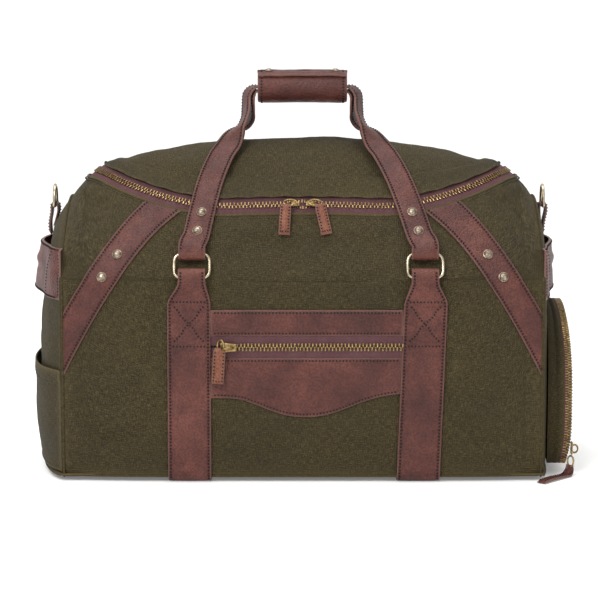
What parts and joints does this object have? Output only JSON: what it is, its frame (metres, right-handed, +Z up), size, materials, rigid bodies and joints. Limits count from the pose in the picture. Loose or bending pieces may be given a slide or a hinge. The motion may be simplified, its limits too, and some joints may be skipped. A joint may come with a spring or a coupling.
{
  "type": "duffel bag",
  "caption": "Weekend duffel bag in waxed canvas and leather, with a U-shaped zipped lid, two swinging carry handles on oval rings and zipped and open pockets.",
  "frame": {"origin": "on the floor under the middle of the bag", "axes": "+X to the bag's right along its length, +Y to its back, +Z up"},
  "size_m": [0.5621, 0.3031, 0.4104],
  "materials": {
    "waxed_canvas": "marled waxed canvas",
    "lining_cotton": "plain weave",
    "stiff_board": "matt",
    "brown_leather": "pebble grain, rubbed edges",
    "zip_tape": "herringbone tape",
    "antique_brass": "antique brass",
    "pale_gold": "polished pale gold",
    "aged_nickel": "aged nickel"
  },
  "bodies": {
    "bag": {"front_panel": "waxed_canvas", "back_panel": "waxed_canvas", "end_panel_left": "waxed_canvas", "end_panel_right": "waxed_canvas", "base_panel": "waxed_canvas", "base_board": "stiff_board", "lining": "lining_cotton", "body_zip_tape": "zip_tape", "body_zip_chain": "antique_brass", "band_left": "brown_leather", "band_right": "brown_leather", "corner_strap_left": "brown_leather", "corner_strap_right": "brown_leather", "corner_rivet_left_lower": "aged_nickel", "corner_rivet_left_upper": "aged_nickel", "corner_rivet_right_lower": "aged_nickel", "corner_rivet_right_upper": "aged_nickel", "pocket_welt": "brown_leather", "pocket_zip_tape": "zip_tape", "pocket_zip_chain": "antique_brass", "pocket_facing": "brown_leather", "pocket_pouch": "lining_cotton", "end_handle_left": "brown_leather", "end_handle_right": "brown_leather", "dring_tab_left": "brown_leather", "dring_tab_right": "brown_leather", "slip_pocket": "waxed_canvas", "end_pocket_gusset": "waxed_canvas", "end_pocket_face": "waxed_canvas", "end_pocket_zip": "antique_brass"},
    "lid": {"lid_panel": "waxed_canvas", "lid_zip_tape": "zip_tape", "lid_zip_chain": "antique_brass"},
    "front_handle": {"handle_strap_front": "brown_leather", "handle_rivet_front_left_lower": "aged_nickel", "handle_rivet_front_left_upper": "aged_nickel", "handle_rivet_front_right_lower": "aged_nickel", "handle_rivet_front_right_upper": "aged_nickel", "handle_ring_front_left": "pale_gold", "handle_ring_front_right": "pale_gold", "handle_wrap": "brown_leather", "wrap_snap_left": "aged_nickel", "wrap_snap_right": "aged_nickel"},
    "back_handle": {"handle_strap_back": "brown_leather", "handle_rivet_back_left_lower": "aged_nickel", "handle_rivet_back_left_upper": "aged_nickel", "handle_rivet_back_right_lower": "aged_nickel", "handle_rivet_back_right_upper": "aged_nickel", "handle_ring_back_left": "pale_gold", "handle_ring_back_right": "pale_gold"},
    "main_slider_left": {"main_slider_left": "antique_brass"},
    "main_slider_right": {"main_slider_right": "antique_brass"},
    "main_pull_left": {"main_pull_left": "brown_leather"},
    "main_pull_right": {"main_pull_right": "brown_leather"},
    "pocket_slider": {"pocket_slider": "antique_brass"},
    "pocket_pull": {"pocket_pull": "brown_leather"},
    "end_pocket_slider": {"end_pocket_slider": "antique_brass"},
    "end_pocket_pull": {"end_pocket_pull": "brown_leather"},
    "dring_left": {"dring_left": "pale_gold"},
    "dring_right": {"dring_right": "pale_gold"}
  },
  "joints": [
    {"name": "front_handle_swing", "type": "hinge", "parent": "bag", "child": "front_handle", "pos_m": [0, -0.1452, 0.208], "axis": [1, 0, 0], "range_deg": [0, 150], "deforming": ["handle_wrap"]},
    {"name": "back_handle_swing", "type": "hinge", "parent": "bag", "child": "back_handle", "pos_m": [0, 0.1452, 0.208], "axis": [-1, 0, 0], "range_deg": [0, 150]},
    {"name": "lid_swing", "type": "hinge", "parent": "bag", "child": "lid", "pos_m": [0, 0.0998, 0.27632], "axis": [-1, 0, 0], "range_deg": [0, 75]},
    {"name": "main_slider_left_slide", "type": "slide", "parent": "lid", "child": "main_slider_left", "axis": [-1, 0, 0], "range_m": [0, 0.055]},
    {"name": "main_slider_right_slide", "type": "slide", "parent": "lid", "child": "main_slider_right", "axis": [1, 0, 0], "range_m": [0, 0.055]},
    {"name": "main_pull_left_swing", "type": "hinge", "parent": "main_slider_left", "child": "main_pull_left", "pos_m": [-0.0082, -0.10656, 0.28066], "axis": [-1, 0, 0], "range_deg": [0, 110]},
    {"name": "main_pull_right_swing", "type": "hinge", "parent": "main_slider_right", "child": "main_pull_right", "pos_m": [0.0087, -0.10656, 0.28066], "axis": [-1, 0, 0], "range_deg": [0, 110]},
    {"name": "pocket_slider_slide", "type": "slide", "parent": "bag", "child": "pocket_slider", "axis": [1, 0, 0], "range_m": [0, 0.155]},
    {"name": "pocket_pull_swing", "type": "hinge", "parent": "pocket_slider", "child": "pocket_pull", "pos_m": [-0.0823, -0.1492, 0.1455], "axis": [-1, 0, 0], "range_deg": [0, 110]},
    {"name": "end_pocket_slider_slide", "type": "slide", "parent": "bag", "child": "end_pocket_slider", "axis": [0.05, 0, 0.9987], "range_m": [0, 0.045]},
    {"name": "end_pocket_pull_swing", "type": "hinge", "parent": "end_pocket_slider", "child": "end_pocket_pull", "pos_m": [0.2738, -0.1118, 0.012], "axis": [-0.7848, 0.6198, 0], "range_deg": [0, 60]},
    {"name": "dring_left_swing", "type": "hinge", "parent": "bag", "child": "dring_left", "pos_m": [-0.2605, 0, 0.268], "axis": [0, -1, 0], "range_deg": [0, 110]},
    {"name": "dring_right_swing", "type": "hinge", "parent": "bag", "child": "dring_right", "pos_m": [0.253, 0, 0.268], "axis": [0, 1, 0], "range_deg": [0, 110]}
  ],
  "couplings": [
    {"joint": "back_handle_swing", "follows": "front_handle_swing", "ratio": 1},
    {"joint": "lid_swing", "follows": "front_handle_swing", "ratio": 0.5}
  ]
}
